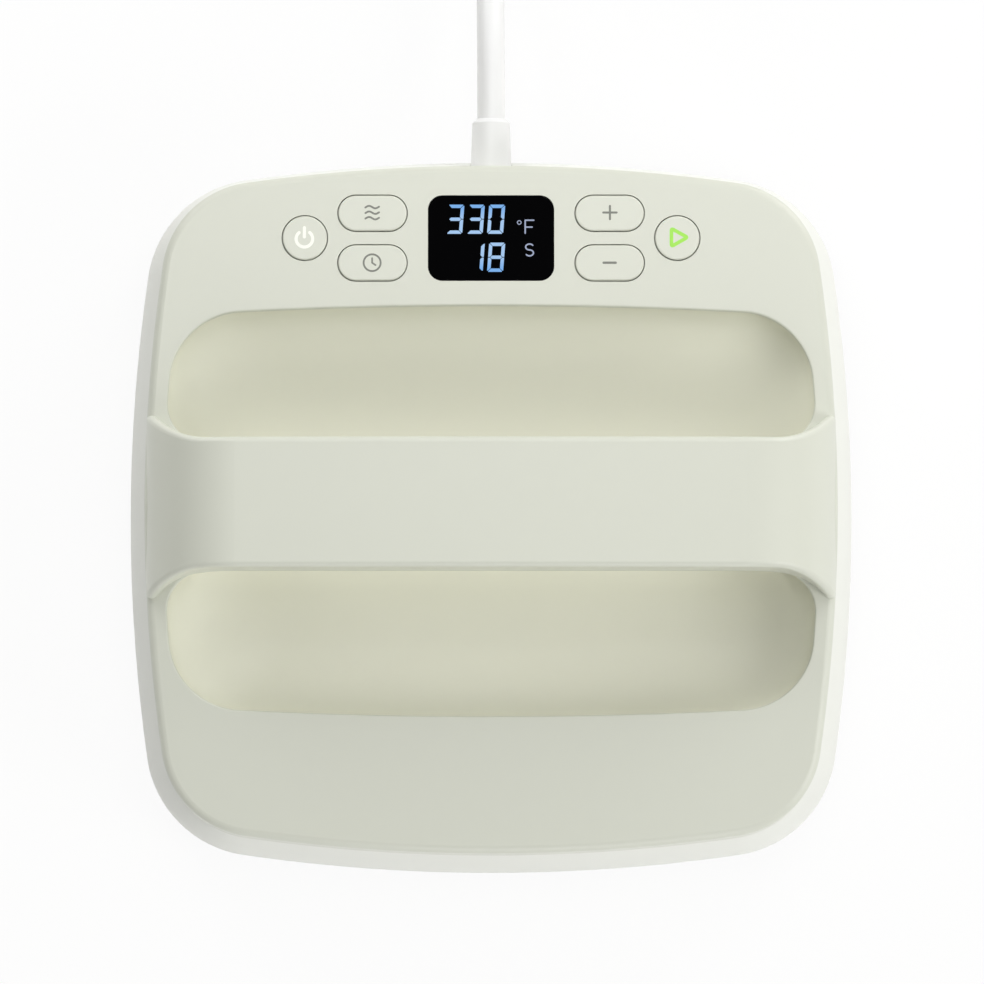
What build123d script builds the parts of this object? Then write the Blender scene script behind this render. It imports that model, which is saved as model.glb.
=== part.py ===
from build123d import *
import math
import os

# Handheld heat press. Origin at the middle of the plate's working face, +Z up, +Y to the back.
# All sizes are in millimetres.

# Outlines seen from above
BASE_WIDTH = 236.0
BASE_DEPTH = 232.8
SIDE_RADIUS = 560.0
CORNER_RADIUS = 37.0
SHELL_INSET_SIDES = 6.0
SHELL_INSET_ENDS = 4.8

# Heights above the working face
PLATE_THICKNESS = 9.0
PLATE_RIM = 6.0
SKIRT_BOTTOM = 7.0
SKIRT_WIDEST = 12.0
SKIRT_TUCK = 1.6
FLOOR_BOTTOM = 17.0
FLOOR_THICKNESS = 3.0
SEAM_HEIGHT = 36.0
DECK_RIDGE = 64.0
DECK_SLOPE = 4.0
HANDLE_TOP = 89.0

# Walls and clearances
SKIRT_WALL = 2.6
SHELL_WALL = 2.5
SEAM_GAP = 0.3
FIT = 0.2
HOLE_PLAY = 0.1

# Cover edges
DECK_EDGE = 2.5
LIP_EDGE = 0.6
LOCATING_LIP = 1.5
LOCATING_HEIGHT = 3.0

# Handle: an arch across the press
HANDLE_WIDTH = 42.0
HANDLE_EDGE = 1.8
HANDLE_CROWN = 2.0
ARCH_OVERHANG = -0.5
ARCH_CORNER = 30.0
FLARE_RADIUS = 22.0
FLARE_OVERRUN = 1.6
TUNNEL_INSET = 12.6
TUNNEL_ROOF = 68.0
TUNNEL_CORNER = 12.0
UNDERSIDE_WALL = 2.5

# Finger well under the handle
WELL_RIM = 6.4
REAR_DECK = 46.1
FRONT_DECK = 44.1
WELL_END_RADIUS = 1600.0
WELL_CORNER = 24.0
WELL_WALL = 2.5
WELL_FLOOR = 37.0
WELL_SPRING = 56.5
WELL_FLAT_HALF = 22.5
WELL_STEPS = 6
OPENING_CORNER = 13.0
OPENING_LAP = 0.5

# Control deck
PANEL_SETBACK = 24.0
ROUND_KEY = 14.4
ROUND_KEY_X = 60.3
PILL_LENGTH = 22.2
PILL_WIDTH = 11.6
PILL_X = 38.4
PILL_PITCH = 16.3
KEY_GAP = 0.35
KEY_PROUD = 0.4
KEY_TRAVEL = 0.8
KEY_FLANGE = 1.2
KEY_FLANGE_LAP = 1.2
KEY_STEM = 4.0
KEY_EDGE = 0.5
SWITCH_SIZE = 6.2
SWITCH_HEIGHT = 3.0
SWITCH_WELL = 2.0
DISPLAY_WIDTH = 40.5
DISPLAY_HEIGHT = 27.7
DISPLAY_CORNER = 4.5
DISPLAY_FLANGE = 1.0
DISPLAY_LAP = 1.6
MODULE_MARGIN = 1.2
BOARD_THICKNESS = 1.6
BOARD_DEPTH = 10.4
CONTROL_BOARD_WIDTH = 146.0
CONTROL_BOARD_LENGTH = 32.0
CONTROL_BOARD_SHIFT = -2.0
BUZZER_DIAMETER = 12.0
BUZZER_HEIGHT = 7.0
BUZZER_X = 56.0

# Hot side
PLATE_INSET = 3.7
PLATE_STEP = 7.0
PLATE_EDGE = 1.5
ELEMENT_DIAMETER = 6.6
ELEMENT_SINK = 1.0
ELEMENT_EDGE_X = 34.0
ELEMENT_EDGE_Y = 38.4
ELEMENT_BEND = 22.0
ELEMENT_END_X = 18.0
ELEMENT_END_Y = 20.0
TERMINAL_DIAMETER = 3.0
TERMINAL_LENGTH = 9.0
BLANKET_INSET = 20.0
BLANKET_THICKNESS = 3.4
SHIELD_THICKNESS = 1.0
SHIELD_INSET = 7.0
WINDOW_WIDTH = 84.0
WINDOW_DEPTH = 66.0
WINDOW_CORNER = 8.0
SPACER_DIAMETER = 10.0
SPACER_INSET_X = 22.0
SPACER_INSET_Y = 26.0
SHIELD_SCREW_EDGE = 15.0
SHIELD_SCREW_SPREAD = 42.0
SENSOR_LENGTH = 14.0
SENSOR_WIDTH = 9.0
SENSOR_HEIGHT = 5.0
CUTOUT_DIAMETER = 16.0
CUTOUT_HEIGHT = 9.0
CUTOUT_Y = -18.0
CUTOUT_EAR = 7.6
CUTOUT_FLANGE_HEIGHT = 1.2

# Screws
SCREW_DIAMETER = 3.0
SCREW_HEAD = 5.6
SCREW_HEAD_HEIGHT = 2.0
SCREW_BITE = 7.0
PLATE_SCREW_DIAMETER = 4.0
PLATE_SCREW_HEAD = 7.6
PLATE_SCREW_BITE = 5.0
POST_DIAMETER = 9.0
POST_INSET_X = 22.0
POST_INSET_Y = 23.6
POST_CLEAR = 2.5
SMALL_POST = 6.5
TAB_INSET = 25.6
TAB_REACH = 11.0
TAB_WIDTH = 11.0
TAB_THICKNESS = 2.5
TAB_POST = 7.9
HANDLE_SCREW_INSET = 31.0
HANDLE_SCREW_Y = 9.0

# Mains side
POWER_BOARD_WIDTH = 66.0
POWER_BOARD_LENGTH = 38.0
POWER_BOARD_INSET = 36.4
POWER_BOARD_STAND = 4.0
RELAY_WIDTH = 19.0
RELAY_DEPTH = 15.5
RELAY_HEIGHT = 15.0
TRANSFORMER_WIDTH = 18.0
TRANSFORMER_HEIGHT = 13.0
CAPACITOR_DIAMETER = 10.0
CAPACITOR_HEIGHT = 14.0
LEAD_DIAMETER = 2.6
RIBBON_WIDTH = 15.0
RIBBON_THICKNESS = 0.8

# Mains lead
CORD_DIAMETER = 9.0
CORD_HEIGHT = 28.0
RELIEF_ROOT = 13.8
RELIEF_TIP = 12.2
RELIEF_PROUD = 13.0
RELIEF_CHAMFER = 1.4
RELIEF_FLANGE = 20.0
RELIEF_FLANGE_LENGTH = 3.0
RELIEF_FLANGE_HEIGHT = 12.8
RELIEF_SEAT = 2.4
CLAMP_INSET = 20.4
CLAMP_LENGTH = 10.0
CLAMP_WALL = 2.5
CLAMP_EAR = 9.0
INNER_CORD_INSET = 32.4
COIL_CENTRE_X = 55.0
COIL_CENTRE_Y = 262.0
COIL_CORE_RADIUS = 37.5
COIL_GAP = 0.6
COIL_TURNS_PER_LAYER = 2.5
TIE_THICKNESS = 0.8
TIE_WIDTH = 12.0
TIE_PLAY = 0.35

# Plug with two flat blades and an earth pin
PLUG_WIDTH = 27.0
PLUG_HEIGHT = 24.0
PLUG_LENGTH = 34.0
PLUG_NECK = 13.0
PLUG_NECK_LENGTH = 16.0
PLUG_CORNER = 7.0
BLADE_PITCH = 12.7
BLADE_WIDTH = 6.35
BLADE_THICKNESS = 1.5
BLADE_LENGTH = 17.0
EARTH_PIN = 4.8
EARTH_PIN_LENGTH = 20.5
EARTH_OFFSET = 11.9
BLADE_ROOT = 8.0
PLUG_X = -107.3
PLUG_Y = 271.0

# Derived places
SHELL_HALF_X = BASE_WIDTH / 2 - SHELL_INSET_SIDES
SHELL_HALF_Y = BASE_DEPTH / 2 - SHELL_INSET_ENDS
SHELL_CORNER = CORNER_RADIUS - (SHELL_INSET_SIDES + SHELL_INSET_ENDS) / 2
SHELL_BOTTOM = SEAM_HEIGHT + SEAM_GAP
FLOOR_TOP = FLOOR_BOTTOM + FLOOR_THICKNESS
SHIELD_BOTTOM = FLOOR_BOTTOM - SHIELD_THICKNESS
SLOPE = math.tan(math.radians(DECK_SLOPE))
FAR = BASE_WIDTH + BASE_DEPTH
PANEL_Y = SHELL_HALF_Y - PANEL_SETBACK
WELL_HALF_WIDTH = SHELL_HALF_X - WELL_RIM
WELL_HALF_DEPTH = SHELL_HALF_Y - (REAR_DECK + FRONT_DECK) / 2
WELL_CENTRE_Y = (FRONT_DECK - REAR_DECK) / 2
WELL_RUN = WELL_HALF_DEPTH - WELL_FLAT_HALF
TUNNEL_HALF = WELL_HALF_WIDTH - TUNNEL_INSET
HANDLE_SCREW_X = TUNNEL_HALF - HANDLE_SCREW_INSET
TAB_X = WELL_HALF_WIDTH - TAB_INSET
ELEMENT_HALF_X = BASE_WIDTH / 2 - ELEMENT_EDGE_X
ELEMENT_HALF_Y = BASE_DEPTH / 2 - ELEMENT_EDGE_Y
SPACER_X = ELEMENT_HALF_X - SPACER_INSET_X
SPACER_Y = ELEMENT_HALF_Y - SPACER_INSET_Y
POST_X = SHELL_HALF_X - POST_INSET_X
POST_Y = SHELL_HALF_Y - POST_INSET_Y
POWER_BOARD_X = (POST_DIAMETER + POWER_BOARD_WIDTH) / 2 + POST_CLEAR - POST_X
POWER_BOARD_Y = BASE_DEPTH / 2 - POWER_BOARD_INSET
CLAMP_Y = BASE_DEPTH / 2 - CLAMP_INSET
INNER_CORD_END_Y = BASE_DEPTH / 2 - INNER_CORD_INSET
RELIEF_END_Y = BASE_DEPTH / 2 + RELIEF_PROUD


def deck_height(y):
    """Height of the sloping decks at a distance from the middle."""
    return DECK_RIDGE - abs(y) * SLOPE


PANEL = Plane(
    origin=(0, PANEL_Y, deck_height(PANEL_Y)),
    x_dir=(1, 0, 0),
    z_dir=(0, math.sin(math.radians(DECK_SLOPE)), math.cos(math.radians(DECK_SLOPE))),
)
KEYS = {
    "power_button": (-ROUND_KEY_X, 0),
    "start_button": (ROUND_KEY_X, 0),
    "temperature_button": (-PILL_X, PILL_PITCH / 2),
    "timer_button": (-PILL_X, -PILL_PITCH / 2),
    "plus_button": (PILL_X, PILL_PITCH / 2),
    "minus_button": (PILL_X, -PILL_PITCH / 2),
}


def bulged_rectangle(half_x, half_y, side_radius, end_radius, corner):
    """Rectangle whose four sides are shallow arcs, with rounded corners."""
    right = Pos(half_x - side_radius, 0) * Circle(side_radius)
    left = Pos(side_radius - half_x, 0) * Circle(side_radius)
    back = Pos(0, half_y - end_radius) * Circle(end_radius)
    front = Pos(0, end_radius - half_y) * Circle(end_radius)
    face = right & left & back & front
    return fillet(face.vertices(), corner)


def base_outline(inset_x, inset_y):
    """The foot's outline, drawn in at the sides and at the ends."""
    corner = CORNER_RADIUS - (inset_x + inset_y) / 2
    half_x = BASE_WIDTH / 2 - inset_x
    half_y = BASE_DEPTH / 2 - inset_y
    return bulged_rectangle(half_x, half_y, SIDE_RADIUS, SIDE_RADIUS, corner)


def skirt_section(height, inset):
    """Skirt outline at a height: tucked under at the bottom, widest low down, drawn in to the seam."""
    if height < SKIRT_WIDEST:
        part = (SKIRT_WIDEST - height) / (SKIRT_WIDEST - SKIRT_BOTTOM)
        tuck = SKIRT_TUCK * part**2 + inset
        return Pos(0, 0, height) * base_outline(tuck, tuck)
    part = ((height - SKIRT_WIDEST) / (SEAM_HEIGHT - SKIRT_WIDEST)) ** 2
    sides = SHELL_INSET_SIDES * part + inset
    ends = SHELL_INSET_ENDS * part + inset
    return Pos(0, 0, height) * base_outline(sides, ends)


def skirt_loft(bottom, top, inset, steps):
    """Smooth solid through the skirt's sections between two heights."""
    step = (top - bottom) / steps
    return loft([skirt_section(bottom + step * index, inset) for index in range(steps + 1)])


def upright(face, bottom, top):
    """Prism of a face drawn in plan, between two heights."""
    return extrude(Pos(0, 0, bottom) * face, top - bottom)


def rod(x, y, bottom, top, diameter):
    """Upright round bar or hole."""
    return Pos(x, y, bottom) * Cylinder(
        diameter / 2, top - bottom, align=(Align.CENTER, Align.CENTER, Align.MIN)
    )


def standing_box(width, depth, height):
    """Block that stands on the origin, centred over it."""
    return Box(width, depth, height, align=(Align.CENTER, Align.CENTER, Align.MIN))


def mirrored_points(x, y):
    """The four corners of a pattern about the middle."""
    return [(x, y), (-x, y), (-x, -y), (x, -y)]


def screw(diameter, head, length):
    """Pan head screw along +Z, its head below the origin and a hexagon socket in the head."""
    shank = rod(0, 0, 0, length, diameter)
    cap = rod(0, 0, -SCREW_HEAD_HEIGHT, 0, head)
    cap = fillet(cap.edges().sort_by(Axis.Z)[0], SCREW_HEAD_HEIGHT / 3)
    socket = extrude(Pos(0, 0, -SCREW_HEAD_HEIGHT) * RegularPolygon(head / 4, 6), SCREW_HEAD_HEIGHT / 2)
    return shank + cap - socket


def window():
    """Opening through blanket, shield and floor for the wires and sensors."""
    return RectangleRounded(WINDOW_WIDTH, WINDOW_DEPTH, WINDOW_CORNER)


def shield_screw_places():
    """Screws that hold the shield under the floor, near its edge."""
    sides = mirrored_points(BASE_WIDTH / 2 - SHIELD_SCREW_EDGE, SHIELD_SCREW_SPREAD)
    ends = mirrored_points(SHIELD_SCREW_SPREAD, BASE_DEPTH / 2 - SHIELD_SCREW_EDGE)
    return sides + ends


def element_path(height):
    """Route of the tubular heater: out from the middle and once round the plate."""
    points = [
        (-ELEMENT_END_X, ELEMENT_END_Y, height),
        (-ELEMENT_END_X, ELEMENT_HALF_Y, height),
        (-ELEMENT_HALF_X, ELEMENT_HALF_Y, height),
        (-ELEMENT_HALF_X, -ELEMENT_HALF_Y, height),
        (ELEMENT_HALF_X, -ELEMENT_HALF_Y, height),
        (ELEMENT_HALF_X, ELEMENT_HALF_Y, height),
        (ELEMENT_END_X, ELEMENT_HALF_Y, height),
        (ELEMENT_END_X, ELEMENT_END_Y, height),
    ]
    corner = min(ELEMENT_BEND, (ELEMENT_HALF_X - ELEMENT_END_X) * 0.45)
    return FilletPolyline(*points, radius=corner)


def swept_tube(path, diameter):
    """Round tube along a path."""
    return sweep(Plane(path @ 0, z_dir=path % 0) * Circle(diameter / 2), path=path)


def heat_plate():
    """Thick aluminium plate: rounded working edge, a step inside the skirt, a groove for the heater."""
    rim = upright(base_outline(PLATE_INSET, PLATE_INSET), 0, PLATE_RIM)
    rim = fillet(rim.edges().group_by(Axis.Z)[0], PLATE_EDGE)
    inner = PLATE_INSET + PLATE_STEP
    plate = rim + upright(base_outline(inner, inner), 0, PLATE_THICKNESS)
    groove_width = ELEMENT_DIAMETER + 2 * HOLE_PLAY
    groove_bottom = PLATE_THICKNESS - ELEMENT_SINK - ELEMENT_DIAMETER / 2 - HOLE_PLAY
    groove = trace(element_path(0), groove_width)
    for side in (-1, 1):
        run_out = Rectangle(groove_width, 3 * TERMINAL_LENGTH)
        groove += Pos(side * ELEMENT_END_X, ELEMENT_END_Y - TERMINAL_LENGTH) * run_out
    plate -= upright(groove, groove_bottom, PLATE_THICKNESS)
    for x, y in mirrored_points(SPACER_X, SPACER_Y):
        bite = PLATE_THICKNESS - PLATE_SCREW_BITE - HOLE_PLAY
        plate -= rod(x, y, bite, PLATE_THICKNESS, PLATE_SCREW_DIAMETER + HOLE_PLAY)
    for x, y in sensor_screw_places():
        bite = PLATE_THICKNESS - PLATE_SCREW_BITE - HOLE_PLAY
        plate -= rod(x, y, bite, PLATE_THICKNESS, SCREW_DIAMETER + HOLE_PLAY)
    return plate


def heating_element():
    """Tubular heater in the plate's groove, with a terminal pin at each end."""
    height = PLATE_THICKNESS - ELEMENT_SINK
    element = swept_tube(element_path(height), ELEMENT_DIAMETER)
    pin = Rot(90, 0, 0) * rod(0, 0, 0, TERMINAL_LENGTH, TERMINAL_DIAMETER)
    for side in (-1, 1):
        element += Pos(side * ELEMENT_END_X, ELEMENT_END_Y, height) * pin
    return element


def insulation_blanket():
    """Ceramic fibre blanket lying on the heater, cut round the spacers and the window."""
    bottom = PLATE_THICKNESS - ELEMENT_SINK + ELEMENT_DIAMETER / 2 + HOLE_PLAY
    sheet = base_outline(BLANKET_INSET, BLANKET_INSET) - window()
    for x, y in mirrored_points(SPACER_X, SPACER_Y):
        sheet -= Pos(x, y) * Circle(SPACER_DIAMETER / 2 + FIT)
    return upright(sheet, bottom, bottom + BLANKET_THICKNESS)


def heat_shield():
    """Sheet steel tray plate, screwed up against the floor of the housing."""
    sheet = base_outline(SHIELD_INSET, SHIELD_INSET) - window()
    for x, y in mirrored_points(SPACER_X, SPACER_Y):
        sheet -= Pos(x, y) * Circle(PLATE_SCREW_DIAMETER / 2 + FIT)
    for x, y in shield_screw_places():
        sheet -= Pos(x, y) * Circle(SCREW_DIAMETER / 2 + FIT)
    for x, y in mirrored_points(POST_X, POST_Y):
        sheet -= Pos(x, y) * Circle(SCREW_HEAD / 2 + FIT)
    return upright(sheet, SHIELD_BOTTOM, FLOOR_BOTTOM)


def plate_spacers():
    """Ceramic tubes that keep the plate at a distance from the shield."""
    spacers = []
    for x, y in mirrored_points(SPACER_X, SPACER_Y):
        tube = rod(x, y, PLATE_THICKNESS, SHIELD_BOTTOM, SPACER_DIAMETER)
        spacers.append(tube - rod(x, y, PLATE_THICKNESS, SHIELD_BOTTOM, PLATE_SCREW_DIAMETER + 2 * FIT))
    return spacers


def plate_screws():
    """Screws from the top of the floor, through shield and spacers, into the plate."""
    length = FLOOR_TOP - PLATE_THICKNESS + PLATE_SCREW_BITE
    turned = Rot(180, 0, 0) * screw(PLATE_SCREW_DIAMETER, PLATE_SCREW_HEAD, length)
    return [Pos(x, y, FLOOR_TOP) * turned for x, y in mirrored_points(SPACER_X, SPACER_Y)]


def shield_screws():
    """Screws from below that hold the shield to the floor."""
    length = SHIELD_THICKNESS + FLOOR_THICKNESS
    one = screw(SCREW_DIAMETER, SCREW_HEAD, length)
    return [Pos(x, y, SHIELD_BOTTOM) * one for x, y in shield_screw_places()]


def cutout_reach():
    """Distance of the cut-out's screws from its middle, their heads just clear of its body."""
    return (CUTOUT_DIAMETER + SCREW_HEAD) / 2 + FIT


def sensor_screw_places():
    """One screw through the sensor block, two through the cut-out's flange."""
    return [(0, 0), (cutout_reach(), CUTOUT_Y), (-cutout_reach(), CUTOUT_Y)]


def temperature_sensor():
    """Small aluminium block with a thermistor, flat on the plate."""
    block = standing_box(SENSOR_LENGTH, SENSOR_WIDTH, SENSOR_HEIGHT)
    block = fillet(block.edges().filter_by(Axis.Z), SENSOR_WIDTH / 4)
    block -= rod(0, 0, 0, SENSOR_HEIGHT, SCREW_DIAMETER + 2 * FIT)
    return Pos(0, 0, PLATE_THICKNESS) * block


def thermal_cutout():
    """Bimetal cut-out: a round body on a two-eared flange, with two flat tabs."""
    ears = SlotOverall(2 * cutout_reach() + CUTOUT_EAR, CUTOUT_EAR)
    for side in (-1, 1):
        ears -= Pos(side * cutout_reach(), 0) * Circle(SCREW_DIAMETER / 2 + FIT)
    body = upright(ears, 0, CUTOUT_FLANGE_HEIGHT)
    body += rod(0, 0, 0, CUTOUT_HEIGHT, CUTOUT_DIAMETER - 2 * HOLE_PLAY)
    for side in (-1, 1):
        tab = standing_box(BLADE_THICKNESS / 2, BLADE_WIDTH, 2 * BLADE_WIDTH)
        body += Pos(side * CUTOUT_DIAMETER / 4, 0, CUTOUT_HEIGHT / 2) * tab
    return Pos(0, CUTOUT_Y, PLATE_THICKNESS) * body


def sensor_screws():
    """Screws that hold the sensor and the cut-out on the plate."""
    screws = []
    for index, (x, y) in enumerate(sensor_screw_places()):
        seat = PLATE_THICKNESS + (SENSOR_HEIGHT if index == 0 else CUTOUT_FLANGE_HEIGHT)
        length = seat - PLATE_THICKNESS + PLATE_SCREW_BITE
        screws.append(Pos(x, y, seat) * Rot(180, 0, 0) * screw(SCREW_DIAMETER, SCREW_HEAD, length))
    return screws


def relief_wall_y():
    """Outer face of the skirt at the height where the lead leaves it."""
    part = ((CORD_HEIGHT - SKIRT_WIDEST) / (SEAM_HEIGHT - SKIRT_WIDEST)) ** 2
    return BASE_DEPTH / 2 - SHELL_INSET_ENDS * part


def along_y(y, length, diameter, height=CORD_HEIGHT):
    """Round bar along +Y from a place on the lead's axis."""
    return Pos(0, y, height) * Rot(-90, 0, 0) * rod(0, 0, 0, length, diameter)


def base_housing():
    """White skirt with a full floor, a locating lip for the cover and stands for the power board."""
    body = skirt_loft(SKIRT_BOTTOM, SEAM_HEIGHT, 0, 6)
    body -= skirt_loft(SKIRT_BOTTOM - SKIRT_WALL, FLOOR_BOTTOM, SKIRT_WALL, 2)
    body -= skirt_loft(FLOOR_TOP, SEAM_HEIGHT + SKIRT_WALL, SKIRT_WALL, 3)
    lip_out = SHELL_WALL + FIT
    root = shell_outline(SHELL_WALL / 2)
    lip = shell_outline(lip_out)
    bore = shell_outline(lip_out + LOCATING_LIP)
    body += upright(root - bore, SEAM_HEIGHT - LOCATING_LIP, SEAM_HEIGHT)
    body += upright(lip - bore, SEAM_HEIGHT - LOCATING_LIP, SEAM_HEIGHT + LOCATING_HEIGHT)
    body -= upright(window(), FLOOR_BOTTOM, FLOOR_TOP)
    for x, y in power_board_screw_places():
        body += rod(x, y, FLOOR_TOP, FLOOR_TOP + POWER_BOARD_STAND, SMALL_POST)
        body -= rod(x, y, FLOOR_BOTTOM, FLOOR_TOP + POWER_BOARD_STAND, SCREW_DIAMETER + HOLE_PLAY)
    for x, y in mirrored_points(SPACER_X, SPACER_Y):
        body -= rod(x, y, FLOOR_BOTTOM, FLOOR_TOP, PLATE_SCREW_DIAMETER + 2 * FIT)
    for x, y in shield_screw_places():
        body -= rod(x, y, FLOOR_BOTTOM, FLOOR_TOP, SCREW_DIAMETER + HOLE_PLAY)
    for x, y in mirrored_points(POST_X, POST_Y):
        body -= rod(x, y, FLOOR_BOTTOM, FLOOR_TOP, SCREW_DIAMETER + 2 * FIT)
    cradle = standing_box(clamp_span(), CLAMP_LENGTH, clamp_seat() - FLOOR_TOP)
    body += Pos(0, CLAMP_Y, FLOOR_TOP) * cradle
    body -= along_y(CLAMP_Y - CLAMP_LENGTH, 2 * CLAMP_LENGTH, CORD_DIAMETER + 2 * FIT)
    for x, y in clamp_screw_places():
        body -= rod(x, y, FLOOR_TOP, clamp_seat(), SCREW_DIAMETER + HOLE_PLAY)
    body -= along_y(relief_wall_y() - 3 * SKIRT_WALL, 6 * SKIRT_WALL, RELIEF_ROOT + 2 * HOLE_PLAY)
    return body


def shell_outline(inset):
    """The cover's outline at the seam, drawn in by a wall."""
    return base_outline(SHELL_INSET_SIDES + inset, SHELL_INSET_ENDS + inset)


def deck_solid(inset, drop, bottom):
    """Everything under the two sloping decks, inside the cover's side walls."""
    sides = upright(shell_outline(inset), bottom, HANDLE_TOP)
    ridge = DECK_RIDGE - drop
    end = ridge - FAR * SLOPE
    roof = Polyline((-FAR, 0), (FAR, 0), (FAR, end), (0, ridge), (-FAR, end), (-FAR, 0))
    return sides & extrude(Plane.YZ * make_face(roof), FAR, both=True)


def front_prism(face, width):
    """Solid of a face drawn in the front view, centred on the press."""
    return extrude(Plane.XZ * face, width / 2, both=True)


def arch_face(inset):
    """The handle from the front: upright legs, rounded shoulders and a slightly crowned top."""
    half = SHELL_HALF_X + ARCH_OVERHANG - inset
    top = HANDLE_TOP - inset
    shoulder = top - HANDLE_CROWN
    legs = Polyline((-half, shoulder), (-half, 0), (half, 0), (half, shoulder))
    crown = ThreePointArc((half, shoulder), (0, top), (-half, shoulder))
    face = make_face(legs.edges() + crown.edges())
    return fillet(face.vertices().group_by(Axis.Y)[-1], ARCH_CORNER - inset)


def tunnel_face(grow):
    """The finger tunnel from the front: flat roof with rounded corners."""
    half = TUNNEL_HALF + grow
    face = Pos(0, (TUNNEL_ROOF + grow) / 2) * Rectangle(2 * half, TUNNEL_ROOF + grow)
    return fillet(face.vertices().group_by(Axis.Y)[-1], TUNNEL_CORNER + grow)


def handle_plan():
    """The handle from above: a straight band that flares where it meets the rims."""
    reach = HANDLE_WIDTH / 2 + 2 * FLARE_RADIUS
    band = Rectangle(2 * FAR, 2 * reach)
    notch_half = SHELL_HALF_X + ARCH_OVERHANG + FLARE_OVERRUN
    for side in (-1, 1):
        notch = Pos(0, side * (HANDLE_WIDTH / 2 + reach)) * Rectangle(2 * notch_half, 2 * reach)
        near = notch.vertices().sort_by(lambda corner: abs(corner.Y))[:2]
        band -= fillet(near, FLARE_RADIUS)
    return band


def well_contour(inset):
    """Rim of the finger well; further in, the corners tighten with the shrinking outline."""
    rim = min(WELL_CORNER, 0.55 * (WELL_HALF_DEPTH - HANDLE_WIDTH / 2))
    corner = rim * (1 - max(inset, 0) / WELL_RUN * 0.4) - min(inset, 0)
    face = bulged_rectangle(
        WELL_HALF_WIDTH - inset, WELL_HALF_DEPTH - inset, SIDE_RADIUS, WELL_END_RADIUS, corner
    )
    return Pos(0, WELL_CENTRE_Y) * face


def well_opening(side):
    """Opening in the deck before (-1) or behind (+1) the handle, with rounded corners at the handle."""
    edge = HANDLE_WIDTH / 2 - OPENING_LAP
    half_plane = Pos(0, side * (edge + FAR / 2)) * Rectangle(2 * FAR, FAR)
    face = well_contour(0) & half_plane
    near = face.vertices().sort_by(lambda corner: abs(corner.Y - side * edge))[:2]
    return fillet(near, min(OPENING_CORNER, 0.29 * (WELL_HALF_DEPTH - edge)))


def well_bowl(wall, top):
    """Solid that fills the scooped well: an elliptical dish below, an upright collar above."""
    depth = WELL_SPRING - WELL_FLOOR
    sections = []
    for step in range(WELL_STEPS + 1):
        angle = math.pi / 2 * step / WELL_STEPS
        across = WELL_RUN * (1 - math.cos(angle))
        height = WELL_SPRING - depth * math.sin(angle)
        normal = math.hypot(depth * math.cos(angle), WELL_RUN * math.sin(angle))
        across -= wall * depth * math.cos(angle) / normal
        height -= wall * WELL_RUN * math.sin(angle) / normal
        sections.append(Pos(0, 0, height) * well_contour(across))
    return loft(sections) + upright(well_contour(-wall), WELL_SPRING, top)


def tab_places():
    """Screw places of the well's four tabs."""
    reach = WELL_HALF_DEPTH + TAB_REACH / 2
    return [(x, WELL_CENTRE_Y + side * reach) for x in (-TAB_X, TAB_X) for side in (-1, 1)]


def tab_height():
    """Underside of the tabs, whose posts hang from the deck above them."""
    lowest = min(deck_height(y) for x, y in tab_places())
    return lowest - SHELL_WALL - TAB_POST - TAB_THICKNESS


def finger_well():
    """Scooped liner that hangs under the decks, with four screw tabs."""
    body = well_bowl(WELL_WALL, DECK_RIDGE)
    for x, y in tab_places():
        tab = standing_box(TAB_WIDTH, 2 * TAB_REACH, TAB_THICKNESS)
        body += Pos(x, y - math.copysign(TAB_REACH / 2, y), tab_height()) * tab
    body -= well_bowl(0, HANDLE_TOP)
    for x, y in tab_places():
        body -= rod(x, y, tab_height(), tab_height() + TAB_THICKNESS, SCREW_DIAMETER + 2 * FIT)
    return body & deck_solid(SHELL_WALL + FIT, SHELL_WALL + FIT, FLOOR_TOP)


def well_screws():
    """Screws from below through the well's tabs into the cover's posts."""
    one = screw(SCREW_DIAMETER, SCREW_HEAD, TAB_THICKNESS + SCREW_BITE)
    return [Pos(x, y, tab_height()) * one for x, y in tab_places()]


def key_face(name, grow):
    """Outline of a key: round for power and start, a pill for the others."""
    if name in ("power_button", "start_button"):
        return Circle(ROUND_KEY / 2 + grow)
    return SlotOverall(PILL_LENGTH + 2 * grow, PILL_WIDTH + 2 * grow)


def panel_slab(face, x, y, low, high):
    """Prism square to the control deck, between two depths from its surface."""
    return PANEL * Pos(x, y, low) * extrude(face, high - low)


def control_board_corners():
    """Screw places of the control board, in the deck's own plane."""
    x = CONTROL_BOARD_WIDTH / 2 - SMALL_POST / 2
    y = CONTROL_BOARD_LENGTH / 2 - SMALL_POST / 2
    return [(px, CONTROL_BOARD_SHIFT + py) for px, py in mirrored_points(x, y)]


def handle_screw_seat():
    """Height where the handle screws' heads bear, sunk in the underside."""
    return TUNNEL_ROOF + SCREW_HEAD_HEIGHT + FIT


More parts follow.
